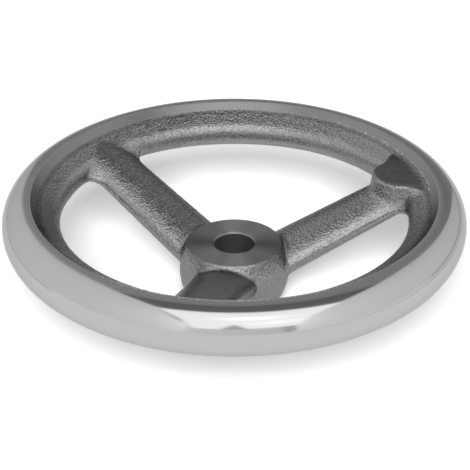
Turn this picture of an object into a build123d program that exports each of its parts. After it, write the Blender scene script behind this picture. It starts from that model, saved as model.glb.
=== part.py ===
from build123d import *
from math import atan2, cos, degrees, hypot, radians, sin, sqrt, tan
import os

# Machine handwheel, one grey-iron casting: a rim carried well above the hub by three sloping spokes of
# oval section. The rim is turned and polished round its outer half, the hub is faced and bored, and the
# rest keeps the skin of the mould, with the mould's parting land standing out down both sides of each
# spoke. A boss with a flat top stands where one spoke meets the rim, ready to be drilled for a crank handle.
#
# Frame: the origin is on the bore's axis, in the back face of the hub, which the wheel stands on. +Z runs
# along the bore towards the rim, and +X runs out through the spoke that carries the boss.

# ---- Driving dimensions, in millimetres and degrees -------------------------------------------------------

overall_height = 40.0

# Rim
rim_diameter = 160.0
rim_height = 19.0               # height of the section, and diameter of its round turned crown
rim_width = 19.95               # from the outside in to the nose, the innermost point of the cast section
cast_width = 7.0                # from the nose out to where the cast skin ends and the turned flanks begin
bottom_crest_offset = 1.5       # the crown ends at its highest point above, and this far outside it below
nose_top_round = 5.2
nose_bottom_round = 4.7
top_flank_slope = 34.0
bottom_flank_slope = 30.0

# Hub
hub_length = 20.0
hub_diameter = 38.4
hub_face_diameter = 32.0
hub_face_chamfer = 0.6
bore_diameter = 14.0
bore_chamfer = 0.5

# Spokes
spoke_count = 3
spoke_width_at_hub = 21.6
spoke_width_at_rim = 18.9
spoke_depth_at_hub = 11.9       # upright, along the wheel's axis
spoke_depth_at_rim = 10.95
spoke_edge_share = 0.68         # radius of a spoke's rounded edges, as a share of half its depth
spoke_shoulder = 0.65           # the crown of a spoke leaves the hub this far below the hub's front face
spoke_crown_margin = 1.65       # and runs into the rim's top flank this far short of the turned band
spoke_rim_fillet = 4.5
spoke_hub_fillet = 1.5
spoke_root_wall = 3.0           # the spokes start this far outside the bore, within the hub

# Parting land of the mould, down both sides of each spoke
land_root_drop = 1.17           # below a spoke's middle line at the hub, and level with it at the rim
land_height = 2.4
land_stand = 0.3                # how far the land stands out from a spoke's widest line
land_sink = 0.3                 # how deep the land runs within the rim's nose
land_corner_radius = 5.0        # where the land turns from a spoke to the rim

# Boss for the handle
boss_radius = 9.5
boss_inset = 1.15               # middle of the boss, outside the rim's nose
boss_drop = 2.6                 # flat top of the boss, below the crown of the rim
boss_edge = 0.6                 # bevel round the flat top
boss_draft = 8.0
boss_flare_angle = 51.0         # the boss widens towards the rim between straight flares
boss_flare_offset = 7.25        # distance of a flare from the boss's own axis
boss_flare_round = 5.0
boss_flare_reach = 5.2          # the flares end this far beyond the middle of the boss, within the rim

# ---- Places that follow -----------------------------------------------------------------------------------

rim_radius = rim_diameter / 2
rim_middle = overall_height - rim_height / 2
crown_centre = rim_radius - rim_height / 2
nose_from_axis = rim_radius - rim_width
skin_radius = nose_from_axis + cast_width
hub_radius = hub_diameter / 2
bore_radius = bore_diameter / 2
spoke_root_radius = bore_radius + spoke_root_wall
spoke_pitch = 360 / spoke_count
boss_from_axis = nose_from_axis + boss_inset
boss_top = overall_height - boss_drop


def between(radius, inner, outer, at_inner, at_outer):
    """Value at a distance from the axis on the straight line through the values at two other distances."""
    return at_inner + (at_outer - at_inner) * (radius - inner) / (outer - inner)


def polar(centre, radius, angle):
    """Point at a radius and an angle in degrees round a centre, in a plane."""
    return centre[0] + radius * cos(radians(angle)), centre[1] + radius * sin(radians(angle))


def across(point):
    """The same point on the other side of the spoke's middle line, in plan."""
    return point[0], -point[1]


# ---- Rim --------------------------------------------------------------------------------------------------


def crown_point(radius, side):
    """Point of the round crown at a distance from the axis, above (side 1) or below (side -1) its middle."""
    return radius, rim_middle + side * sqrt((rim_height / 2) ** 2 - (radius - crown_centre) ** 2)


def flank_point(nose_round, slope, radius, side):
    """Point at a distance from the axis on a straight flank that leaves the rim's nose at a slope."""
    rise = nose_round / cos(radians(slope)) + (radius - nose_from_axis - nose_round) * tan(radians(slope))
    return radius, rim_middle + side * rise


def make_rim():
    """Ring with a round turned crown, straight flanks that are turned and then cast, and a round nose."""
    crest_top = crown_point(crown_centre, 1)
    crest_bottom = crown_point(crown_centre + bottom_crest_offset, -1)
    skin_top = flank_point(nose_top_round, top_flank_slope, skin_radius, 1)
    skin_bottom = flank_point(nose_bottom_round, bottom_flank_slope, skin_radius, -1)
    top_centre = (nose_from_axis + nose_top_round, rim_middle)
    bottom_centre = (nose_from_axis + nose_bottom_round, rim_middle)
    nose = (nose_from_axis, rim_middle)
    nose_top = polar(top_centre, nose_top_round, 90 + top_flank_slope)
    nose_bottom = polar(bottom_centre, nose_bottom_round, -90 - bottom_flank_slope)
    with BuildPart() as rim:
        with BuildSketch(Plane.XZ):
            with BuildLine():
                ThreePointArc(crest_bottom, (rim_radius, rim_middle), crest_top)
                Polyline(crest_top, skin_top, nose_top)
                TangentArc(nose_top, nose, tangent=polar((0, 0), 1, top_flank_slope - 180))
                TangentArc(nose, nose_bottom, tangent=(0, -1))
                Polyline(nose_bottom, skin_bottom, crest_bottom)
            make_face()
        revolve(axis=Axis.Z)
    return rim.part


# ---- Hub --------------------------------------------------------------------------------------------------


def make_hub():
    """Ball-shaped hub cut off by two turned faces, with a chamfered bore."""
    face_radius = hub_face_diameter / 2
    wall_radius = sqrt(hub_radius ** 2 - (hub_length / 2 - hub_face_chamfer) ** 2)
    mouth_radius = bore_radius + bore_chamfer
    with BuildPart() as hub:
        with BuildSketch(Plane.XZ):
            with BuildLine():
                Polyline((wall_radius, hub_face_chamfer), (face_radius, 0), (mouth_radius, 0),
                         (bore_radius, bore_chamfer), (bore_radius, hub_length - bore_chamfer),
                         (mouth_radius, hub_length), (face_radius, hub_length),
                         (wall_radius, hub_length - hub_face_chamfer))
                ThreePointArc((wall_radius, hub_face_chamfer), (hub_radius, hub_length / 2),
                              (wall_radius, hub_length - hub_face_chamfer))
            make_face()
        revolve(axis=Axis.Z)
    return hub.part


# ---- Spokes -----------------------------------------------------------------------------------------------


def spoke_width(radius):
    """Full width of a spoke at a distance from the axis."""
    return between(radius, hub_radius, nose_from_axis, spoke_width_at_hub, spoke_width_at_rim)


def spoke_depth(radius):
    """Full upright depth of a spoke at a distance from the axis."""
    return between(radius, hub_radius, nose_from_axis, spoke_depth_at_hub, spoke_depth_at_rim)


def spoke_middle(radius):
    """Height of a spoke's middle line at a distance from the axis."""
    root_height = hub_length - spoke_shoulder - spoke_depth(hub_radius) / 2
    tip_radius = skin_radius - spoke_crown_margin
    tip_height = flank_point(nose_top_round, top_flank_slope, tip_radius, 1)[1] - spoke_depth(tip_radius) / 2
    return between(radius, hub_radius, tip_radius, root_height, tip_height)


def land_middle(radius):
    """Height of the middle of the parting land at a distance from the axis."""
    return spoke_middle(radius) - between(radius, hub_radius, nose_from_axis, land_root_drop, 0)


def spoke_section(radius):
    """Upright oval of four tangent arcs across a spoke at a distance from the axis."""
    half_width = spoke_width(radius) / 2
    half_depth = spoke_depth(radius) / 2
    edge_round = half_depth * spoke_edge_share
    reach = half_width - edge_round
    face_round = (reach ** 2 + half_depth ** 2 - edge_round ** 2) / (2 * (half_depth - edge_round))
    corner = polar((reach, 0), edge_round, degrees(atan2(face_round - half_depth, reach)))
    corners = [corner, (-corner[0], corner[1]), (-corner[0], -corner[1]), (corner[0], -corner[1])]
    place = Plane(origin=(radius, 0, spoke_middle(radius)), x_dir=(0, 1, 0), z_dir=(1, 0, 0))
    with BuildSketch(place) as section:
        with BuildLine():
            ThreePointArc(corners[0], (0, half_depth), corners[1])
            ThreePointArc(corners[1], (-half_width, 0), corners[2])
            ThreePointArc(corners[2], (0, -half_depth), corners[3])
            ThreePointArc(corners[3], (half_width, 0), corners[0])
        make_face()
    return section.sketch


def make_spoke():
    """Tapered bar of oval section, from within the hub to within the rim."""
    return loft([spoke_section(spoke_root_radius), spoke_section(skin_radius)], ruled=True)


def make_land():
    """Parting land down both sides of one spoke, running out into the rim's nose at two rounded corners."""
    mouth_radius = nose_from_axis + land_sink
    tip_radius = nose_from_axis + nose_bottom_round / 2
    root_half = spoke_width(spoke_root_radius) / 2 + land_stand
    tip_half = spoke_width(tip_radius) / 2 + land_stand
    bar = Polygon((spoke_root_radius, -root_half), (tip_radius, -tip_half), (tip_radius, tip_half),
                  (spoke_root_radius, root_half), align=None)
    outline = bar + (Circle(tip_radius) - Circle(mouth_radius))
    corners = [v for v in outline.vertices() if abs(hypot(v.X, v.Y) - mouth_radius) < 0.01]
    outline = fillet(corners, land_corner_radius)
    root = land_middle(spoke_root_radius)
    tip = land_middle(tip_radius)
    with BuildPart() as slab:
        with BuildSketch(Plane.XZ):
            Polygon((spoke_root_radius, root - land_height / 2), (tip_radius, tip - land_height / 2),
                    (tip_radius, tip + land_height / 2), (spoke_root_radius, root + land_height / 2),
                    align=None)
        revolve(axis=Axis.Z)
    near_spoke = Pos(tip_radius / 2, 0, 0) * Rectangle(tip_radius, tip_radius)
    return slab.part & extrude(outline & near_spoke, amount=overall_height)


# ---- Boss -------------------------------------------------------------------------------------------------


def boss_outline(grow, height):
    """Plan of the boss at a height: a round nose that widens between two flares, grown by an amount."""
    nose = boss_radius + grow
    hollow = boss_flare_round - grow
    far = boss_flare_offset + boss_flare_round
    along = sqrt((boss_radius + boss_flare_round) ** 2 - far ** 2)
    centre = (boss_from_axis, 0)
    hollow_centre = polar(polar(centre, along, boss_flare_angle), far, boss_flare_angle + 90)
    nose_angle = degrees(atan2(hollow_centre[1], hollow_centre[0] - boss_from_axis))
    nose_end = polar(centre, nose, nose_angle)
    hollow_middle = polar(hollow_centre, hollow, (nose_angle + 180 + boss_flare_angle - 90 + 360) / 2)
    flare_start = polar(hollow_centre, hollow, boss_flare_angle - 90)
    flare_run = (boss_from_axis + boss_flare_reach - flare_start[0]) / cos(radians(boss_flare_angle))
    flare_end = polar(flare_start, flare_run, boss_flare_angle)
    with BuildSketch(Plane.XY.offset(height)) as plan:
        with BuildLine():
            Line(flare_end, flare_start)
            ThreePointArc(flare_start, hollow_middle, nose_end)
            ThreePointArc(nose_end, (boss_from_axis - nose, 0), across(nose_end))
            ThreePointArc(across(nose_end), across(hollow_middle), across(flare_start))
            Line(across(flare_start), across(flare_end))
            ThreePointArc(across(flare_end), (crown_centre, 0), flare_end)
        make_face()
    return plan.sketch


def make_boss():
    """Boss with a flat bevelled top and drafted walls, down to the middle of the rim."""
    bevel_height = boss_top - boss_edge
    wall_grow = (bevel_height - rim_middle) * tan(radians(boss_draft))
    bevel = loft([boss_outline(0, bevel_height), boss_outline(-boss_edge, boss_top)], ruled=True)
    wall = loft([boss_outline(wall_grow, rim_middle), boss_outline(0, bevel_height)], ruled=True)
    return bevel + wall


# ---- Casting ----------------------------------------------------------------------------------------------


def is_junction(edge, inner, outer):
    """True for a free-form edge, where a spoke runs into the rim or the hub, between two radii."""
    middle = edge @ 0.5
    return edge.geom_type == GeomType.BSPLINE and inner < hypot(middle.X, middle.Y) < outer


def make_handwheel():
    """The whole casting as one solid, with the turned surfaces and the bore."""
    spoke = make_spoke()
    land = make_land()
    turns = [Rot(0, 0, spoke_pitch * number) for number in range(spoke_count)]
    casting = make_rim() + make_hub() + [turn * spoke for turn in turns]
    rim_junctions = [e for e in casting.edges() if is_junction(e, nose_from_axis - 1, crown_centre)]
    casting = fillet(rim_junctions, spoke_rim_fillet)
    hub_junctions = [e for e in casting.edges() if is_junction(e, bore_radius, hub_radius + 2)]
    casting = fillet(hub_junctions, spoke_hub_fillet)
    return casting + [turn * land for turn in turns] + make_boss()


os.makedirs("parts", exist_ok=True)
handwheel = make_handwheel()
handwheel.label = "handwheel"
export_step(handwheel, "parts/handwheel.step")
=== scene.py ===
"""Machine handwheel: its cast skin, its turned and polished metal, and the studio it stands in.

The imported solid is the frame. The wheel is made round it the way a foundry and a lathe make the real one: a
rough casting with stock left on it, and then the lathe's cuts, so that every edge between cast skin and
turned metal is the line where the two surfaces meet.
"""

import logging
from dataclasses import dataclass, field
from enum import Enum
from math import atan2, cos, exp, hypot, pi, radians, sin, sqrt

import bmesh
import bpy
from mathutils import Matrix, Vector, noise

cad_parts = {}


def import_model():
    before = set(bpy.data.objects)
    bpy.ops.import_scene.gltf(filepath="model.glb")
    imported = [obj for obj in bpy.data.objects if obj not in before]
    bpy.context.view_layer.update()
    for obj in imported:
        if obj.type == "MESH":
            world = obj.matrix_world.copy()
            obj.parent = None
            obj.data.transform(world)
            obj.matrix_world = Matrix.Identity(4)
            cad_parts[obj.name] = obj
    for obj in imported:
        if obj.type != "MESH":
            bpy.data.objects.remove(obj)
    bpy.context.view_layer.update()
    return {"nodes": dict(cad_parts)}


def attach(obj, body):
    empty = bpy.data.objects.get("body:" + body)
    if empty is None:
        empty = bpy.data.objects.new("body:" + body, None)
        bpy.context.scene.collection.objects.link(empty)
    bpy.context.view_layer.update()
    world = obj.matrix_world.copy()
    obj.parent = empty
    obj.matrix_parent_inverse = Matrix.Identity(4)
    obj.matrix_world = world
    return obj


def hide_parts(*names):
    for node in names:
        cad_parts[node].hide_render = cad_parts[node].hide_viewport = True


LOG = logging.getLogger("handwheel")
MM = 0.001
NODE = "handwheel"


class Zone(Enum):
    """Finish of a stretch of the wheel's surface, numbered as its material slot."""

    CAST = 0
    FLANK = 1
    CROWN = 2
    FACE = 3
    BORE = 4


# ---- Shapes -----------------------------------------------------------------------------------------------


def polar(centre: tuple[float, float], radius: float, angle: float) -> tuple[float, float]:
    """Point at a radius and an angle in degrees round a centre, in a plane."""
    return centre[0] + radius * cos(radians(angle)), centre[1] + radius * sin(radians(angle))


def arc(centre: tuple[float, float], radius: float, start: float, end: float,
        steps: int) -> list[tuple[float, float]]:
    """Points along a circular arc.

    Args:
        centre: The arc's centre.
        radius: The arc's radius.
        start: First angle, in degrees.
        end: Last angle, in degrees.
        steps: Number of straight pieces.

    Returns:
        The points, both ends included.
    """
    return [polar(centre, radius, start + (end - start) * step / steps) for step in range(steps + 1)]


def smooth_step(value: float, start: float, end: float) -> float:
    """Share of the way from start to end, held between 0 and 1 and eased at both."""
    share = min(1.0, max(0.0, (value - start) / (end - start)))
    return share * share * (3 - 2 * share)


def put(name: str, data: bpy.types.ID) -> bpy.types.Object:
    """Puts something into the scene as an object at the origin.

    Args:
        name: Name of the object.
        data: The mesh, light or camera.

    Returns:
        The object.
    """
    made = bpy.data.objects.new(name, data)
    bpy.context.collection.objects.link(made)
    return made


def put_shape(name: str, shape: bmesh.types.BMesh) -> bpy.types.Object:
    """Makes a shape a mesh and puts it into the scene as an object at the origin.

    Args:
        name: Name of the object and its mesh.
        shape: The shape, which is freed.

    Returns:
        The object.
    """
    mesh = bpy.data.meshes.new(name)
    shape.to_mesh(mesh)
    shape.free()
    return put(name, mesh)


def settle_modifiers(obj: bpy.types.Object) -> None:
    """Applies an object's modifiers to its mesh.

    Args:
        obj: The object.
    """
    graph = bpy.context.evaluated_depsgraph_get()
    mesh = bpy.data.meshes.new_from_object(obj.evaluated_get(graph))
    obj.modifiers.clear()
    obj.data = mesh


@dataclass(frozen=True)
class RimSizes:
    """The rim's section, in millimetres and degrees.

    The crown is one arc, and straight turned flanks fall from its ends to the cast skin. The tool's mark is a
    fine groove inside the crown's upper end.
    """

    crown_from_axis: float = 70.5
    crown_height: float = 30.5
    crown_radius: float = 9.5
    bottom_crest_offset: float = 1.5
    skin_radius: float = 67.4
    skin_top: float = 37.82
    skin_bottom: float = 23.75
    skin_drop: float = 0.38
    flank_reach: float = 1.05
    crown_top: float = 91.6
    groove_width: float = 0.3
    groove_depth: float = 0.07

    def crown_start(self) -> float:
        """Angle in degrees of the crown's lower end, round the crown's centre."""
        drop = sqrt(self.crown_radius ** 2 - self.bottom_crest_offset ** 2)
        return -90 + atan2(self.bottom_crest_offset, drop) * 180 / pi


@dataclass(frozen=True)
class HubSizes:
    """The hub's turned faces and bore, in millimetres."""

    length: float = 20.0
    radius: float = 19.2
    face_radius: float = 16.0
    face_chamfer: float = 0.6
    bore_radius: float = 7.0
    bore_chamfer: float = 0.5
    tool_clearance: float = 0.4

    def wall_radius(self) -> float:
        """Distance from the axis at which the ball of the hub meets the chamfer of a face."""
        return sqrt(self.radius ** 2 - (self.length / 2 - self.face_chamfer) ** 2)


@dataclass
class LatheCuts:
    """Everything that the lathe leaves standing, as one solid of revolution round the wheel's axis.

    Lengths are in millimetres. The solid reaches past the casting, up to the height clear_above and down to
    clear_below. A surface within touch of another counts as the same one.
    """

    rim: RimSizes = field(default_factory=RimSizes)
    hub: HubSizes = field(default_factory=HubSizes)
    clear_above: float = 60.0
    clear_below: float = -20.0
    crown_steps: int = 30
    turn_steps: int = 400
    touch: float = 0.05

    def flank(self, end: tuple[float, float], crest: tuple[float, float]) -> tuple[float, float]:
        """Inner end of a turned flank, where the tool lifts off.

        Args:
            end: Radius and height at which the flank meets the cast skin.
            crest: Radius and height at which the flank meets the crown.

        Returns:
            Radius and height on the same line, a little way into the skin.
        """
        slope = (crest[1] - end[1]) / (crest[0] - end[0])
        return end[0] - self.rim.flank_reach, end[1] - self.rim.flank_reach * slope

    def profile(self) -> list[tuple[float, float]]:
        """Closed outline of the solid.

        Returns:
            Radius and height of each corner, in millimetres.
        """
        rim, hub = self.rim, self.hub
        wall = hub.wall_radius()
        mouth = hub.bore_radius + hub.bore_chamfer
        lift = wall + hub.tool_clearance
        crown = arc((rim.crown_from_axis, rim.crown_height), rim.crown_radius, rim.crown_top,
                    rim.crown_start(), self.crown_steps)
        top_skin = (rim.skin_radius, rim.skin_top)
        bottom_skin = (rim.skin_radius, rim.skin_bottom)
        bottom_lift = self.flank(bottom_skin, crown[-1])
        crest = crown[0]
        groove = (crest[0] - rim.groove_width / 2, crest[1] - rim.groove_depth)
        groove_end = (crest[0] - rim.groove_width, crest[1] - rim.groove_depth / 2)
        front = hub.length
        return [
            (hub.bore_radius, hub.bore_chamfer), (hub.bore_radius, front - hub.bore_chamfer), (mouth, front),
            (wall, front), (lift, front + hub.tool_clearance), (lift, self.clear_above),
            (rim.skin_radius, self.clear_above), top_skin, groove_end, groove, *crown,
            bottom_skin, bottom_lift, (bottom_lift[0], self.clear_below), (lift, self.clear_below),
            (lift, -hub.tool_clearance), (wall, 0), (mouth, 0),
        ]

    def zone(self, radius: float, height: float) -> Zone:
        """Finish of a turned surface.

        Args:
            radius: Distance from the axis, in millimetres.
            height: Height above the hub's back face, in millimetres.

        Returns:
            The finish there.
        """
        rim, hub = self.rim, self.hub
        if radius < hub.bore_radius + self.touch:
            return Zone.BORE
        if radius < hub.wall_radius() + 2 * hub.tool_clearance:
            return Zone.FACE
        out = hypot(radius - rim.crown_from_axis, height - rim.crown_height)
        return Zone.CROWN if out > rim.crown_radius - self.touch else Zone.FLANK

    def build(self) -> bpy.types.Object:
        """Spins the outline into a closed mesh whose faces carry their finish.

        Returns:
            The solid, as an object at the origin.
        """
        shell = bmesh.new()
        points = [shell.verts.new((radius * MM, 0, height * MM)) for radius, height in self.profile()]
        sides = [shell.edges.new((first, second)) for first, second in zip(points, points[1:] + points[:1])]
        bmesh.ops.spin(shell, geom=points + sides, cent=(0, 0, 0), axis=(0, 0, 1), dvec=(0, 0, 0),
                       angle=2 * pi, steps=self.turn_steps, use_merge=True, use_duplicate=False)
        bmesh.ops.recalc_face_normals(shell, faces=shell.faces)
        for face in shell.faces:
            middle = face.calc_center_median() / MM
            face.material_index = self.zone(hypot(middle.x, middle.y), middle.z).value
        return put_shape("lathe_cuts", shell)


@dataclass
class RoughCasting:
    """The casting as it leaves the mould: stock on the rim and the hub, soft corners and a grained skin.

    Lengths are in millimetres. Towards the turned flank the skin drops a little, from the radius drop_from
    outwards. At the boss it doesn't: the drop sets in at the first distance of boss_sides from the boss's
    middle and is whole at the second. The grain is a sum of waves, each a length and a height.
    """

    rim: RimSizes = field(default_factory=RimSizes)
    hub: HubSizes = field(default_factory=HubSizes)
    crown_stock: float = 0.6
    face_stock: float = 0.5
    bore_stock: float = 0.8
    weld: float = 0.001
    turned_margin: float = 0.2
    touch: float = 0.1
    drop_from: float = 61.0
    boss_sides: tuple[float, float] = (9.0, 13.0)
    voxel: float = 0.58
    softness: float = 0.5
    soft_rounds: int = 2
    boss_from_axis: float = 61.2
    boss_reach: float = 15.0
    boss_rounds: int = 4
    waves: tuple[tuple[float, float], ...] = ((3.2, 0.03), (1.5, 0.05))

    def swell(self, point: Vector) -> Vector:
        """Place of a point of the finished wheel on the rough casting.

        Args:
            point: A point of the finished surface, in millimetres.

        Returns:
            The same point with the stock for turning added.
        """
        rim, hub = self.rim, self.hub
        radius, height = hypot(point.x, point.y), point.z
        front = height > hub.length / 2
        off_face = min(abs(height), abs(height - hub.length))
        turned = radius > rim.skin_radius + self.turned_margin
        if not turned and height > rim.crown_height and radius > hub.radius:
            return Vector((point.x, point.y, height - self.drop(point, radius)))
        if turned:
            grow = 1 + self.crown_stock / rim.crown_radius
            new_radius = rim.crown_from_axis + (radius - rim.crown_from_axis) * grow
            new_height = rim.crown_height + (height - rim.crown_height) * grow
        elif radius < hub.bore_radius + hub.bore_chamfer + self.touch:
            new_radius = hub.bore_radius - self.bore_stock
            new_height = hub.length + self.face_stock if front else -self.face_stock
        elif radius < hub.face_radius + self.touch and off_face < self.touch:
            ball = sqrt(hub.radius ** 2 - (hub.length / 2 + self.face_stock) ** 2)
            new_radius = ball if radius > hub.face_radius - self.touch else radius
            new_height = hub.length + self.face_stock if front else -self.face_stock
        else:
            return point
        turn = new_radius / radius
        return Vector((point.x * turn, point.y * turn, new_height))

    def drop(self, point: Vector, radius: float) -> float:
        """How far the skin lies below the finished surface.

        Args:
            point: A point on the upper side of the rim or a spoke, in millimetres.
            radius: The point's distance from the axis.

        Returns:
            The drop in millimetres.
        """
        beside_boss = smooth_step(abs(point.y), *self.boss_sides) if point.x > 0 else 1.0
        return self.rim.skin_drop * smooth_step(radius, self.drop_from, self.rim.skin_radius) * beside_boss

    def build(self, solid: bpy.types.Object) -> bpy.types.Object:
        """Makes the rough casting round the finished solid.

        Args:
            solid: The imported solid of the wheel.

        Returns:
            The casting, as an object at the origin.
        """
        blank = bmesh.new()
        blank.from_mesh(solid.data)
        bmesh.ops.remove_doubles(blank, verts=blank.verts, dist=self.weld * MM)
        for vert in blank.verts:
            vert.co = self.swell(vert.co / MM) * MM
        casting = put_shape("rough_casting", blank)
        skin = casting.modifiers.new("skin", "REMESH")
        skin.mode = "VOXEL"
        skin.voxel_size = self.voxel * MM
        settle_modifiers(casting)
        self.finish_skin(casting.data)
        return casting

    def near_boss(self, vert: bmesh.types.BMVert) -> bool:
        """True for a vertex by the boss, below the boss's flat top."""
        away = hypot(vert.co.x / MM - self.boss_from_axis, vert.co.y / MM)
        return away < self.boss_reach and vert.co.z / MM > self.rim.skin_bottom

    def finish_skin(self, mesh: bpy.types.Mesh) -> None:
        """Rounds the casting's corners, fills the corner round the boss and gives the skin its grain.

        Args:
            mesh: The casting's mesh, which is changed.
        """
        skin = bmesh.new()
        skin.from_mesh(mesh)
        softening = {"factor": self.softness, "use_axis_x": True, "use_axis_y": True, "use_axis_z": True}
        for _ in range(self.soft_rounds):
            bmesh.ops.smooth_vert(skin, verts=skin.verts, **softening)
        boss = [vert for vert in skin.verts if self.near_boss(vert)]
        for _ in range(self.boss_rounds):
            skin.normal_update()
            hollow = [vert for vert in boss if self.is_hollow(vert)]
            bmesh.ops.smooth_vert(skin, verts=hollow, **softening)
        skin.normal_update()
        for vert in skin.verts:
            vert.co += vert.normal * self.grain(vert.co / MM) * MM
        skin.to_mesh(mesh)
        skin.free()

    @staticmethod
    def is_hollow(vert: bmesh.types.BMVert) -> bool:
        """True where the surface round a vertex is concave."""
        around = sum((edge.other_vert(vert).co for edge in vert.link_edges), Vector()) / len(vert.link_edges)
        return (around - vert.co).dot(vert.normal) > 0

    def grain(self, point: Vector) -> float:
        """Height of the sand-cast skin's grain at a point, both in millimetres."""
        return sum(height * noise.noise(point / length) for length, height in self.waves)


# ---- Finishes ---------------------------------------------------------------------------------------------


class Value:
    """A node's output socket that takes part in sums as a number does."""

    def __init__(self, tree: bpy.types.NodeTree, socket: bpy.types.NodeSocket) -> None:
        """Wraps a socket of a node tree."""
        self.tree = tree
        self.socket = socket

    def maths(self, operation: str, first: object, second: object = None) -> "Value":
        """Adds a Math node.

        Args:
            operation: The node's operation.
            first: A number or Value.
            second: A number or Value, or nothing for an operation on one value.

        Returns:
            The node's result.
        """
        node = self.tree.nodes.new("ShaderNodeMath")
        node.operation = operation
        for place, given in enumerate((first, second)):
            if isinstance(given, Value):
                self.tree.links.new(given.socket, node.inputs[place])
            elif given is not None:
                node.inputs[place].default_value = given
        return Value(self.tree, node.outputs[0])

    def __add__(self, other: object) -> "Value":
        """Sum."""
        return self.maths("ADD", self, other)

    def __radd__(self, other: object) -> "Value":
        """Sum with a number on the left."""
        return self.maths("ADD", other, self)

    def __sub__(self, other: object) -> "Value":
        """Difference."""
        return self.maths("SUBTRACT", self, other)

    def __rsub__(self, other: object) -> "Value":
        """Difference from a number on the left."""
        return self.maths("SUBTRACT", other, self)

    def __mul__(self, other: object) -> "Value":
        """Product."""
        return self.maths("MULTIPLY", self, other)

    def __rmul__(self, other: object) -> "Value":
        """Product with a number on the left."""
        return self.maths("MULTIPLY", other, self)

    def root(self) -> "Value":
        """Square root."""
        return self.maths("SQRT", self)

    def clamped(self) -> "Value":
        """The value held between 0 and 1."""
        return self.maths("MAXIMUM", self.maths("MINIMUM", self, 1.0), 0.0)

    def share(self, start: float, end: float) -> "Value":
        """Share of the way from start to end, held between 0 and 1."""
        return ((self - start) * (1 / (end - start))).clamped()


class Mix(Enum):
    """What a Mix node mixes, with the numbers of its two inputs and its output."""

    VECTOR = ("VECTOR", 4, 5, 1)
    COLOUR = ("RGBA", 6, 7, 2)


class Graph:
    """Builds one material's or the world's node tree."""

    def __init__(self, tree: bpy.types.NodeTree) -> None:
        """Empties the tree."""
        self.tree = tree
        tree.nodes.clear()

    def node(self, kind: str, settings: dict | None = None, inputs: dict | None = None) -> bpy.types.Node:
        """Adds any node.

        Args:
            kind: The node's type.
            settings: Properties to set before the sockets.
            inputs: Values or links of its input sockets, by name or number.

        Returns:
            The node.
        """
        made = self.tree.nodes.new(kind)
        for name, value in (settings or {}).items():
            setattr(made, name, value)
        for name, value in (inputs or {}).items():
            socket = made.inputs[name]
            if isinstance(value, Value):
                self.tree.links.new(value.socket, socket)
            elif isinstance(value, bpy.types.NodeSocket):
                self.tree.links.new(value, socket)
            else:
                socket.default_value = value
        return made

    def value(self, node: bpy.types.Node, output: str | int = 0) -> Value:
        """One output of a node, to calculate with."""
        return Value(self.tree, node.outputs[output])

    def position(self) -> bpy.types.NodeSocket:
        """Object coordinates, in metres."""
        return self.node("ShaderNodeTexCoord").outputs["Object"]

    def measure(self, axis: str) -> Value:
        """One object coordinate, in millimetres."""
        split = self.node("ShaderNodeSeparateXYZ", None, {"Vector": self.position()})
        return self.value(split, axis) * (1 / MM)

    def radius(self) -> Value:
        """Distance from the wheel's axis, in millimetres."""
        across, away = self.measure("X"), self.measure("Y")
        return (across * across + away * away).root()

    def along(self, direction: tuple[float, float, float]) -> Value:
        """Distance from the origin along a direction.

        Args:
            direction: The direction, of any length.

        Returns:
            The distance in millimetres, times the direction's length.
        """
        product = self.node("ShaderNodeVectorMath", {"operation": "DOT_PRODUCT"},
                            {0: self.position(), 1: direction})
        return self.value(product, "Value") * (1 / MM)

    def distance(self, place: tuple[float, float, float]) -> Value:
        """Distance from a place.

        Args:
            place: The place, in millimetres.

        Returns:
            The distance, in millimetres.
        """
        apart = self.node("ShaderNodeVectorMath", {"operation": "DISTANCE"},
                          {0: self.position(), 1: tuple(Vector(place) * MM)})
        return self.value(apart, "Value") * (1 / MM)

    def noise(self, length: float, detail: float = 2.0, roughness: float = 0.6) -> Value:
        """Noise texture.

        Args:
            length: Size of its largest grains, in millimetres.
            detail: Number of finer noises on top.
            roughness: Strength of each finer noise against the one before.

        Returns:
            The noise, mostly between 0.3 and 0.7.
        """
        made = self.node("ShaderNodeTexNoise", {"noise_dimensions": "3D"},
                         {"Vector": self.position(), "Scale": 1 / (length * MM), "Detail": detail,
                          "Roughness": roughness})
        return self.value(made, "Fac")

    def streaks(self, across: Value, width: float) -> Value:
        """Uneven lines that follow one measure.

        Args:
            across: The measure, in millimetres.
            width: Width of the widest lines, in millimetres.

        Returns:
            The lines, as noise mostly between 0.3 and 0.7.
        """
        lines = self.node("ShaderNodeTexNoise", {"noise_dimensions": "1D"},
                          {"W": across, "Scale": 1 / width, "Detail": 3.0, "Roughness": 0.65})
        return self.value(lines, "Fac")

    def mixed(self, kind: Mix, factor: Value | float, first: object, second: object) -> bpy.types.NodeSocket:
        """Mixes two colours or vectors.

        Args:
            kind: What is mixed.
            factor: From 0, all the first, to 1, all the second.
            first: Value or socket.
            second: Value or socket.

        Returns:
            The mix's socket.
        """
        data_type, first_input, second_input, output = kind.value
        mix = self.node("ShaderNodeMix", {"data_type": data_type},
                        {"Factor": factor, first_input: first, second_input: second})
        return mix.outputs[output]

    def bump(self, height: Value, depth: float,
             before: bpy.types.NodeSocket | None = None) -> bpy.types.NodeSocket:
        """Normal of an uneven surface.

        Args:
            height: Height between 0 and 1.
            depth: What a height of 1 stands for, in millimetres.
            before: Normal to start from, if there is one.

        Returns:
            The normal's socket.
        """
        inputs = {"Height": height, "Distance": depth * MM, "Strength": 1.0}
        if before is not None:
            inputs["Normal"] = before
        return self.node("ShaderNodeBump", None, inputs).outputs["Normal"]


def grey(level: float) -> tuple[float, float, float, float]:
    """Opaque grey of a level."""
    return level, level, level, 1.0


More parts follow.
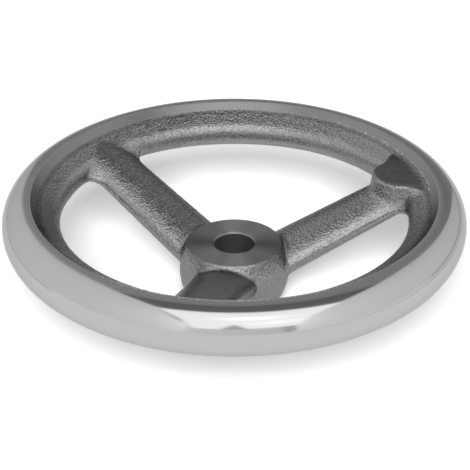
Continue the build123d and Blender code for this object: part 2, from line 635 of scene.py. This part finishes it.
def new_material(name: str) -> tuple[bpy.types.Material, Graph]:
    """Makes an empty node material.

    Args:
        name: The material's name.

    Returns:
        The material and its node tree.
    """
    material = bpy.data.materials.new(name)
    material.use_nodes = True
    return material, Graph(material.node_tree)


@dataclass(frozen=True)
class MetalFinish:
    """What all the wheel's finishes share: bare grey iron with a colour and a roughness that vary.

    The edge is the grey that the metal mirrors at a glancing view, and brushing spreads its mirrorings across
    the lathe's rings. Lengths are in millimetres in every finish.
    """

    name: str
    dark: tuple[float, float, float]
    light: tuple[float, float, float]
    smooth: float
    rough: float
    edge: float = 0.7
    brushing: float = 0.0

    def surface(self, graph: Graph, tone: Value, sheen: Value, normal: bpy.types.NodeSocket) -> None:
        """Adds the metal shader and the output.

        Args:
            graph: The material's node tree.
            tone: From 0, dark, to 1, light.
            sheen: From 0, smooth, to 1, rough.
            normal: The bumped normal.
        """
        shader = graph.node("ShaderNodeBsdfPrincipled", None,
                            {"Base Color": graph.mixed(Mix.COLOUR, tone, (*self.dark, 1), (*self.light, 1)),
                             "Metallic": 1.0,
                             "Specular Tint": grey(self.edge),
                             "Anisotropic": self.brushing,
                             "Anisotropic Rotation": 0.25,
                             "Roughness": self.smooth + sheen * (self.rough - self.smooth),
                             "Normal": normal})
        graph.node("ShaderNodeOutputMaterial", None, {"Surface": shader.outputs["BSDF"]})


@dataclass(frozen=True)
class CastSkin(MetalFinish):
    """Sand-cast skin, blasted clean: dull, with a fine pebbled grain.

    The sand left it coarse and wrinkled round the boss, below the boss's flat top. A painted shadow line, the
    shade under the step where the turned flank cuts into the skin, darkens the skin in a thin band beside the
    flank, between the two radii given for it by its _from and _to fields. The *_tone fields weigh what makes
    the skin lighter or darker.
    """

    pebble: float = 0.8
    pebble_depth: float = 0.125
    pebble_tone: float = 0.6
    grit: float = 0.45
    grit_depth: float = 0.06
    grit_tone: float = 0.6
    stain: float = 12.0
    stain_tone: float = 0.5
    stain_base: float = 0.35
    least_tone: float = 0.4
    # Painted shadow line beside the turned flank's edge: where it starts, where it ends and how much it
    # darkens.
    step_shade_from: float = 65.7
    step_shade_to: float = 66.5
    step_shade_tone: float = 0.32
    boss: tuple[float, float, float] = (61.2, 0.0, 33.0)
    boss_near: float = 5.0
    boss_far: float = 15.0
    boss_top: float = 37.2
    boss_top_fade: float = 0.8
    boss_coarser: float = 1.3
    wrinkle: float = 1.3
    wrinkle_depth: float = 0.9
    wander: float = 3.0
    wander_share: float = 0.0012

    def material(self) -> bpy.types.Material:
        """Builds the skin's material.

        Returns:
            The material.
        """
        made, graph = new_material(self.name)
        pebbles = self.pebbles(graph)
        grit = graph.noise(self.grit)
        stains = graph.noise(self.stain, 3.0)
        coarse = self.near_boss(graph)
        normal = graph.bump(graph.noise(self.wrinkle) * coarse, self.wrinkle_depth)
        normal = graph.bump(pebbles * (1 + coarse * self.boss_coarser), self.pebble_depth, normal)
        normal = graph.bump(grit, self.grit_depth, normal)
        # Painted shadow: a darker band of skin just inside the turned flank, standing for the shade under its
        # step.
        step_shade = graph.radius().share(self.step_shade_from, self.step_shade_to)
        grains = (1 - pebbles) * self.pebble_tone + grit * self.grit_tone
        mottled = (grains + stains * self.stain_tone - self.stain_base).clamped()
        tone = mottled * (1 - self.least_tone) + self.least_tone - step_shade * self.step_shade_tone
        self.surface(graph, tone.clamped(), stains, normal)
        return made

    def near_boss(self, graph: Graph) -> Value:
        """Where the sand left the skin coarse.

        Args:
            graph: The material's node tree.

        Returns:
            1 at the boss on the rim, fading to 0 round it and at its flat top.
        """
        round_it = graph.distance(self.boss).share(self.boss_far, self.boss_near)
        below = graph.measure("Z").share(self.boss_top, self.boss_top - self.boss_top_fade)
        return round_it * below

    def pebbles(self, graph: Graph) -> Value:
        """Rounded grains pressed into the skin by the sand.

        Args:
            graph: The material's node tree.

        Returns:
            From 0 at a grain's middle to 1 between grains.
        """
        wander = graph.node("ShaderNodeTexNoise", None,
                            {"Vector": graph.position(), "Scale": 1 / (self.wander * MM), "Detail": 1.0})
        bent = graph.mixed(Mix.VECTOR, self.wander_share, graph.position(), wander.outputs["Color"])
        cells = graph.node("ShaderNodeTexVoronoi", {"feature": "SMOOTH_F1", "voronoi_dimensions": "3D"},
                           {"Vector": bent, "Scale": 1 / (self.pebble * MM), "Smoothness": 0.4,
                            "Detail": 1.0, "Roughness": 0.5})
        return graph.value(cells, "Distance")


@dataclass(frozen=True)
class TurnedMetal(MetalFinish):
    """Metal turned on the lathe: the tool's fine rings round the axis, and faint cloudy patches.

    ring_share is the rings' share of the tone, against the patches'.
    """

    ring: float = 0.35
    ring_depth: float = 0.004
    ring_share: float = 0.5
    patch: float = 6.0
    patch_detail: float = 3.0
    patch_roughness: float = 0.55

    def material(self) -> bpy.types.Material:
        """Builds the turned metal's material.

        Returns:
            The material.
        """
        made, graph = new_material(self.name)
        rings = graph.streaks(graph.radius(), self.ring)
        patches = self.patches(graph)
        self.surface(graph, self.mottled(rings, patches), patches, graph.bump(rings, self.ring_depth))
        return made

    def patches(self, graph: Graph) -> Value:
        """Cloudy patches, as noise."""
        return graph.noise(self.patch, self.patch_detail, self.patch_roughness)

    def mottled(self, rings: Value, patches: Value) -> Value:
        """Tone that the rings and the patches make together."""
        return rings * self.ring_share + patches * (1 - self.ring_share)


@dataclass(frozen=True)
class ChippedMetal(TurnedMetal):
    """Turned metal that breaks off in small bright chips along its inner edge.

    plain is the tone without chips. The chips start at the radius chips_at and reach chips_width outwards. An
    edge stays whole where the noise is below whole, and it is blunt, with chips, on the blunt side only.
    """

    ring_share: float = 0.6
    plain: float = 0.09
    chips_at: float = 67.4
    chips_width: float = 0.9
    chip: float = 1.3
    chip_rim: float = 0.125
    whole: float = 0.52
    blunt_side: tuple[float, float, float] = (0.76, -0.88, 0.0)
    blunt_spread: float = 0.4

    def material(self) -> bpy.types.Material:
        """Builds the chipped metal's material.

        Returns:
            The material.
        """
        made, graph = new_material(self.name)
        radius = graph.radius()
        rings = graph.streaks(radius, self.ring)
        patches = self.patches(graph)
        chips = self.chips(graph, radius)
        tone = self.mottled(rings, patches) * (2 * self.plain) + chips
        self.surface(graph, tone.clamped(), (patches + chips).clamped(), graph.bump(rings, self.ring_depth))
        return made

    def chips(self, graph: Graph, radius: Value) -> Value:
        """The chips along the edge.

        Args:
            graph: The material's node tree.
            radius: Distance from the axis.

        Returns:
            1 on a chip and 0 elsewhere.
        """
        near = radius.share(self.chips_at + self.chips_width, self.chips_at)
        broken = graph.noise(self.chip).share(self.whole, self.whole + self.chip_rim)
        blunt = (graph.along(self.blunt_side) * (1 / self.chips_at) + self.blunt_spread).clamped()
        return near * broken * blunt


@dataclass(frozen=True)
class PolishedMetal(ChippedMetal):
    """Metal polished bright after turning, dull and chipped beside the crest, where the cloth doesn't reach.

    The cloth's streaks run round the crown: ring_climb counts its height in with the radius. The metal is
    hazy all over by the share haze, and dull and nicked between the radii dull_from and dull_to.
    """

    ring: float = 0.5
    ring_depth: float = 0.0015
    ring_climb: float = 0.8
    patch: float = 14.0
    patch_detail: float = 4.0
    patch_roughness: float = 0.6
    plain: float = 0.035
    chips_at: float = 70.35
    chips_width: float = 0.7
    chip: float = 1.0
    whole: float = 0.46
    blunt_side: tuple[float, float, float] = (-1.85, -4.65, 0.0)
    blunt_spread: float = -3.9
    haze: float = 0.08
    dull: float = 0.84
    dull_from: float = 73.4
    dull_to: float = 70.5
    nick: float = 0.5
    nick_depth: float = 0.05

    def material(self) -> bpy.types.Material:
        """Builds the polished metal's material.

        Returns:
            The material.
        """
        made, graph = new_material(self.name)
        radius = graph.radius()
        rings = graph.streaks(radius + graph.measure("Z") * self.ring_climb, self.ring)
        patches = self.patches(graph)
        unpolished = radius.share(self.dull_from, self.dull_to)
        normal = graph.bump(rings, self.ring_depth)
        normal = graph.bump(graph.noise(self.nick) * unpolished, self.nick_depth, normal)
        tone = self.mottled(rings, patches) * (2 * self.plain) + self.chips(graph, radius)
        sheen = (patches + rings) * self.haze + unpolished * self.dull
        self.surface(graph, tone.clamped(), sheen.clamped(), normal)
        return made


FINISHES = {
    Zone.CAST: CastSkin("cast_skin", (0.12, 0.12, 0.118), (0.43, 0.43, 0.42), 0.19, 0.28, edge=0.60),
    Zone.FLANK: ChippedMetal("turned_flank", (0.215, 0.215, 0.21), (0.80, 0.80, 0.79), 0.24, 0.32,
                             edge=0.35, brushing=0.6),
    Zone.CROWN: PolishedMetal("polished_crown", (0.50, 0.505, 0.50), (0.98, 0.985, 0.98), 0.08, 0.52),
    Zone.FACE: TurnedMetal("turned_face", (0.27, 0.28, 0.28), (0.41, 0.42, 0.42), 0.36, 0.42,
                           edge=0.45, brushing=1.0),
    Zone.BORE: TurnedMetal("bored_hole", (0.22, 0.215, 0.21), (0.35, 0.345, 0.34), 0.40, 0.55),
}


# ---- The wheel --------------------------------------------------------------------------------------------


@dataclass
class Handwheel:
    """The machined wheel: the rough casting cut down by the lathe."""

    casting: RoughCasting = field(default_factory=RoughCasting)
    cuts: LatheCuts = field(default_factory=LatheCuts)
    crease: float = radians(28)

    def build(self, solid: bpy.types.Object) -> bpy.types.Object:
        """Makes the wheel as one closed mesh.

        Args:
            solid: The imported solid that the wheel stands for.

        Returns:
            The wheel, dressed in its finishes.
        """
        materials = [FINISHES[zone].material() for zone in Zone]
        wheel = self.casting.build(solid)
        cuts = self.cuts.build()
        for material in materials:
            wheel.data.materials.append(material)
            cuts.data.materials.append(material)
        turning = wheel.modifiers.new("turning", "BOOLEAN")
        turning.operation = "INTERSECT"
        turning.solver = "MANIFOLD"
        turning.object = cuts
        settle_modifiers(wheel)
        bpy.data.objects.remove(cuts)
        wheel.name = wheel.data.name = "handwheel_casting"
        self.mark_edges(wheel.data)
        return wheel

    def mark_edges(self, mesh: bpy.types.Mesh) -> None:
        """Keeps the edges between finishes and round the turned corners crisp, and the rest smooth.

        Args:
            mesh: The wheel's mesh, which is changed.
        """
        surface = bmesh.new()
        surface.from_mesh(mesh)
        for face in surface.faces:
            face.smooth = True
        for edge in surface.edges:
            zones = {face.material_index for face in edge.link_faces}
            turned = Zone.CAST.value not in zones
            edge.smooth = len(zones) == 1 and not (turned and edge.calc_face_angle(0) > self.crease)
        surface.to_mesh(mesh)
        surface.free()


# ---- Studio -----------------------------------------------------------------------------------------------


@dataclass(frozen=True)
class Card:
    """Sheet of cloth or board that the metal mirrors.

    Places are given in metres as the camera sees them: right, away and up. A place on the card is its shares
    across and along, counted from the first corner. The glow is the brightness at the four corners. A bulb
    behind the cloth is its share across, its share along, its size and what it adds. The card can fade
    towards its first edge, down to the share least, over the share fade of its length.
    """

    name: str
    corners: tuple[tuple[float, float, float], ...]
    glow: tuple[float, float, float, float]
    bulbs: tuple[tuple[float, float, float, float], ...] = ()
    fade: float = 0.0
    least: float = 0.12

    @staticmethod
    def blend(values: tuple, across: float, along: float) -> object:
        """Mixes four corners' values at a place on the card.

        Args:
            values: Numbers or vectors of the corners, in order round the card.
            across: Share of the way across.
            along: Share of the way along.

        Returns:
            The number or vector at the place.
        """
        near = values[0] * (1 - across) + values[1] * across
        far = values[3] * (1 - across) + values[2] * across
        return near * (1 - along) + far * along

    def light(self, across: float, along: float) -> float:
        """Brightness at a place on the card, with its bulbs' bright spots.

        Args:
            across: Share of the way across.
            along: Share of the way along.

        Returns:
            The brightness.
        """
        bright = self.blend(self.glow, across, along)
        for middle, height, size, gain in self.bulbs:
            bright += gain * exp(-((across - middle) ** 2 + (along - height) ** 2) / size ** 2)
        if self.fade:
            bright *= self.least + (1 - self.least) * smooth_step(along, 0.0, self.fade)
        return bright


CARDS = (
    Card("softbox_roof",
         ((-0.60, -0.08, 1.63), (0.72, -0.06, 1.24), (0.72, -0.80, 1.08), (-0.60, -1.00, 1.32)),
         (1.50, 1.50, 1.62, 1.60), ((0.56, 0.80, 0.18, 0.65),), fade=0.20),
    Card("softbox_front",
         ((-0.60, -1.00, 1.32), (0.72, -0.80, 1.08), (0.72, -1.25, 0.60), (-0.60, -1.75, 0.70)),
         (1.60, 1.62, 1.62, 1.62), ((0.76, 0.38, 0.20, 0.35),)),
    Card("left_wall_front",
         ((-0.60, -1.55, 0.0), (-0.60, -0.15, 0.0), (-0.60, -0.15, 1.60), (-0.60, -1.50, 0.90)),
         (1.10, 0.88, 0.92, 1.45)),
    Card("left_wall_back",
         ((-0.60, -0.15, 0.0), (-0.60, 1.78, 0.0), (-0.60, 1.28, 1.54), (-0.60, -0.15, 1.66)),
         (0.88, 0.70, 0.72, 0.92)),
    Card("right_wall_front",
         ((0.72, -1.42, 0.0), (0.72, -0.45, 0.0), (0.72, -0.45, 1.29), (0.72, -1.32, 1.04)),
         (1.15, 0.94, 1.02, 1.50)),
    Card("right_wall_back",
         ((0.72, -0.45, 0.0), (0.72, 1.33, 0.0), (0.72, 0.90, 1.28), (0.72, -0.45, 1.29)),
         (0.94, 0.66, 0.68, 1.02)),
    Card("dark_roof",
         ((-3.0, -4.0, 1.95), (3.4, -4.0, 1.95), (3.4, 0.85, 1.95), (-3.0, 0.85, 1.95)),
         (0.24, 0.24, 0.16, 0.18)),
    Card("grey_back",
         ((-3.0, 0.85, 1.95), (3.4, 0.85, 1.95), (2.6, 3.6, 0.02), (-2.6, 3.6, 0.02)),
         (0.34, 0.30, 0.26, 0.36), ((0.49, 0.48, 0.14, -0.24), (0.50, 1.0, 0.30, 0.14))),
    Card("front_gap",
         ((-0.60, -1.52, 0.0), (0.59, -1.50, 0.0), (0.59, -1.50, 0.52), (-0.60, -1.52, 0.49)),
         (0.95, 0.84, 0.84, 0.95)),
    Card("front_seam",
         ((0.59, -1.49, 0.0), (0.77, -1.40, 0.0), (0.77, -1.40, 0.58), (0.59, -1.49, 0.58)),
         (0.60, 0.60, 0.60, 0.60)),
    Card("left_paper_edge",
         ((-0.25, -0.05, 0.003), (-0.215, -0.05, 0.003), (-0.215, 0.4, 0.003), (-0.25, 0.4, 0.003)),
         (0.62, 0.62, 0.40, 0.40)),
    Card("right_paper_edge",
         ((0.215, -0.4, 0.003), (0.25, -0.4, 0.003), (0.25, 0.3, 0.003), (0.215, 0.3, 0.003)),
         (0.66, 0.66, 0.50, 0.50)),
    Card("left_table",
         ((-0.60, -0.05, 0.002), (-0.235, -0.05, 0.002), (-0.235, 1.70, 0.002), (-0.60, 1.70, 0.002)),
         (0.90, 0.90, 0.68, 0.68)),
    Card("right_table",
         ((0.235, 0.0, 0.002), (0.72, 0.0, 0.002), (0.72, 1.30, 0.002), (0.235, 1.30, 0.002)),
         (0.90, 0.90, 0.66, 0.66)),
    Card("back_table",
         ((-0.235, 0.35, 0.002), (0.235, 0.35, 0.002), (0.60, 3.55, 0.002), (-0.60, 3.55, 0.002)),
         (0.80, 0.80, 0.50, 0.50)),
    # Painted shadow: a dark strip along the right wall's foot, which the metal mirrors, standing for the
    # shade where the wall meets the floor.
    Card("right_wall_foot_shadow",
         ((0.718, 0.1, 0.0), (0.718, 1.30, 0.0), (0.718, 1.30, 0.05), (0.718, 0.1, 0.05)),
         (0.50, 0.42, 0.42, 0.50)),
    Card("camera_stand",
         ((-0.004, -0.56, 0.43), (0.004, -0.56, 0.43), (0.062, -0.56, 0.21), (-0.062, -0.56, 0.21)),
         (0.62, 0.62, 0.66, 0.66)),
)


@dataclass
class Studio:
    """White floor inside a tent of soft cloth, open at the back, and the camera.

    Lengths are in metres and angles in degrees, but the lens and the film's width are in millimetres. The
    metal mirrors the floor darker than the camera sees it.
    """

    cards: tuple[Card, ...] = CARDS
    card_cells: int = 40
    floor_size: float = 9.0
    floor_paper: float = 0.95
    floor_lift: float = 0.24
    mirrored_paper: float = 0.60
    mirrored_lift: float = 0.35
    ambient: float = 0.24
    lamp_strength: float = 4.2
    lamp_spread: float = 36.0
    lamp_height: float = 39.0
    lamp_turn: float = -3.0
    camera_turn: float = -18.07
    camera_back: float = 0.6088
    camera_height: float = 0.3760
    camera_fall: float = 59.883
    camera_pan: float = -0.039
    lens: float = 155.1
    film_width: float = 36.0
    frame_pixels: int = 470

    def turned(self) -> Matrix:
        """Turn from the studio's axes to the wheel's."""
        return Matrix.Rotation(radians(self.camera_turn), 4, "Z")

    @staticmethod
    def seen_or_mirrored(graph: Graph) -> Value:
        """Tells the rays that see their surroundings from those that are only lit by them.

        Args:
            graph: The world's node tree.

        Returns:
            1 for rays from the camera and from mirroring or clear surfaces, and 0 for the rest.
        """
        path = graph.node("ShaderNodeLightPath")
        return (graph.value(path, "Is Camera Ray") + graph.value(path, "Is Glossy Ray")
                + graph.value(path, "Is Transmission Ray")).clamped()

    def floor(self) -> None:
        """White floor that keeps the wheel's shadow."""
        sheet = bmesh.new()
        bmesh.ops.create_grid(sheet, x_segments=1, y_segments=1, size=self.floor_size / 2)
        material, graph = new_material("white_floor")
        path = graph.node("ShaderNodeLightPath")
        mirrored = self.paper(graph, self.mirrored_paper, self.mirrored_lift)
        seen = self.paper(graph, self.floor_paper, self.floor_lift)
        shown = graph.node("ShaderNodeMixShader", None,
                           {"Fac": graph.value(path, "Is Camera Ray"), 1: mirrored, 2: seen})
        graph.node("ShaderNodeOutputMaterial", None, {"Surface": shown.outputs[0]})
        made = put_shape("floor", sheet)
        made.data.materials.append(material)

    @staticmethod
    def paper(graph: Graph, white: float, lift: float) -> bpy.types.NodeSocket:
        """Matt paper, lifted a little so that its shadows stay pale.

        Args:
            graph: The material's node tree.
            white: The paper's whiteness.
            lift: Light that the paper gives off by itself.

        Returns:
            The shader's socket.
        """
        paper = graph.node("ShaderNodeBsdfDiffuse", None, {"Color": grey(white)})
        glow = graph.node("ShaderNodeEmission", None, {"Color": grey(1.0), "Strength": lift})
        return graph.node("ShaderNodeAddShader", None, {0: paper.outputs[0], 1: glow.outputs[0]}).outputs[0]

    def lamp(self) -> None:
        """Lamp behind the cloth, above and in front, whose shadow falls on the floor."""
        light = bpy.data.lights.new("lamp", "SUN")
        light.energy = self.lamp_strength
        light.angle = radians(self.lamp_spread)
        made = put("lamp", light)
        made.matrix_world = (self.turned() @ Matrix.Rotation(radians(self.lamp_turn), 4, "Z")
                             @ Matrix.Rotation(radians(90 - self.lamp_height), 4, "X"))
        made.visible_glossy = False

    @staticmethod
    def cloth() -> bpy.types.Material:
        """Builds glowing cloth whose brightness is written on the card.

        Returns:
            The material.
        """
        material, graph = new_material("studio_cloth")
        written = graph.node("ShaderNodeAttribute", {"attribute_name": "glow"})
        glow = graph.node("ShaderNodeEmission", None, {"Color": written.outputs["Color"], "Strength": 1.0})
        graph.node("ShaderNodeOutputMaterial", None, {"Surface": glow.outputs[0]})
        return material

    def hang(self, card: Card, cloth: bpy.types.Material) -> None:
        """Hangs a card up, out of the camera's sight.

        Args:
            card: The card.
            cloth: What it is made of.
        """
        half = 0.5
        sheet = bmesh.new()
        bmesh.ops.create_grid(sheet, x_segments=self.card_cells, y_segments=self.card_cells, size=half)
        glow = sheet.verts.layers.float_color.new("glow")
        corners = tuple(Vector(corner) for corner in card.corners)
        for vert in sheet.verts:
            across, along = vert.co.x + half, vert.co.y + half
            vert[glow] = grey(card.light(across, along))
            vert.co = self.turned() @ card.blend(corners, across, along)
        made = put_shape(card.name, sheet)
        made.data.materials.append(cloth)
        made.visible_camera = made.visible_diffuse = made.visible_shadow = False

    def world(self) -> None:
        """White surroundings for the camera and the metal, and plain grey light for the rest."""
        world = bpy.data.worlds.new("studio")
        world.use_nodes = True
        graph = Graph(world.node_tree)
        plain = graph.node("ShaderNodeBackground", None, {"Color": grey(1.0), "Strength": self.ambient})
        white = graph.node("ShaderNodeBackground", None, {"Color": grey(1.0), "Strength": 1.0})
        shown = graph.node("ShaderNodeMixShader", None,
                           {"Fac": self.seen_or_mirrored(graph), 1: plain.outputs[0], 2: white.outputs[0]})
        graph.node("ShaderNodeOutputWorld", None, {"Surface": shown.outputs[0]})
        bpy.context.scene.world = world

    def camera(self) -> None:
        """Camera with a long lens, looking down at the wheel from the front."""
        eye = bpy.data.cameras.new("camera")
        eye.lens = self.lens
        eye.sensor_width = self.film_width
        eye.shift_x = -0.5 / self.frame_pixels
        eye.shift_y = 0.5 / self.frame_pixels
        made = put("camera", eye)
        made.matrix_world = (self.turned()
                             @ Matrix.Translation((0, -self.camera_back, self.camera_height))
                             @ Matrix.Rotation(radians(self.camera_pan), 4, "Z")
                             @ Matrix.Rotation(radians(self.camera_fall), 4, "X"))
        bpy.context.scene.camera = made

    def build(self) -> None:
        """Sets the whole studio up."""
        self.camera()
        self.floor()
        cloth = self.cloth()
        for card in self.cards:
            self.hang(card, cloth)
        self.world()
        self.lamp()
        bpy.context.scene.view_settings.view_transform = "Standard"
        LOG.info("studio: %d cards", len(self.cards))


def main() -> None:
    """Builds the wheel and the studio in order."""
    logging.basicConfig(level=logging.INFO, format="%(message)s")
    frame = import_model()
    Studio().build()
    wheel = Handwheel().build(frame["nodes"][NODE])
    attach(wheel, "root")
    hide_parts(NODE)
    LOG.info("%s: %d faces", wheel.name, len(wheel.data.polygons))


if __name__ == "__main__":
    main()
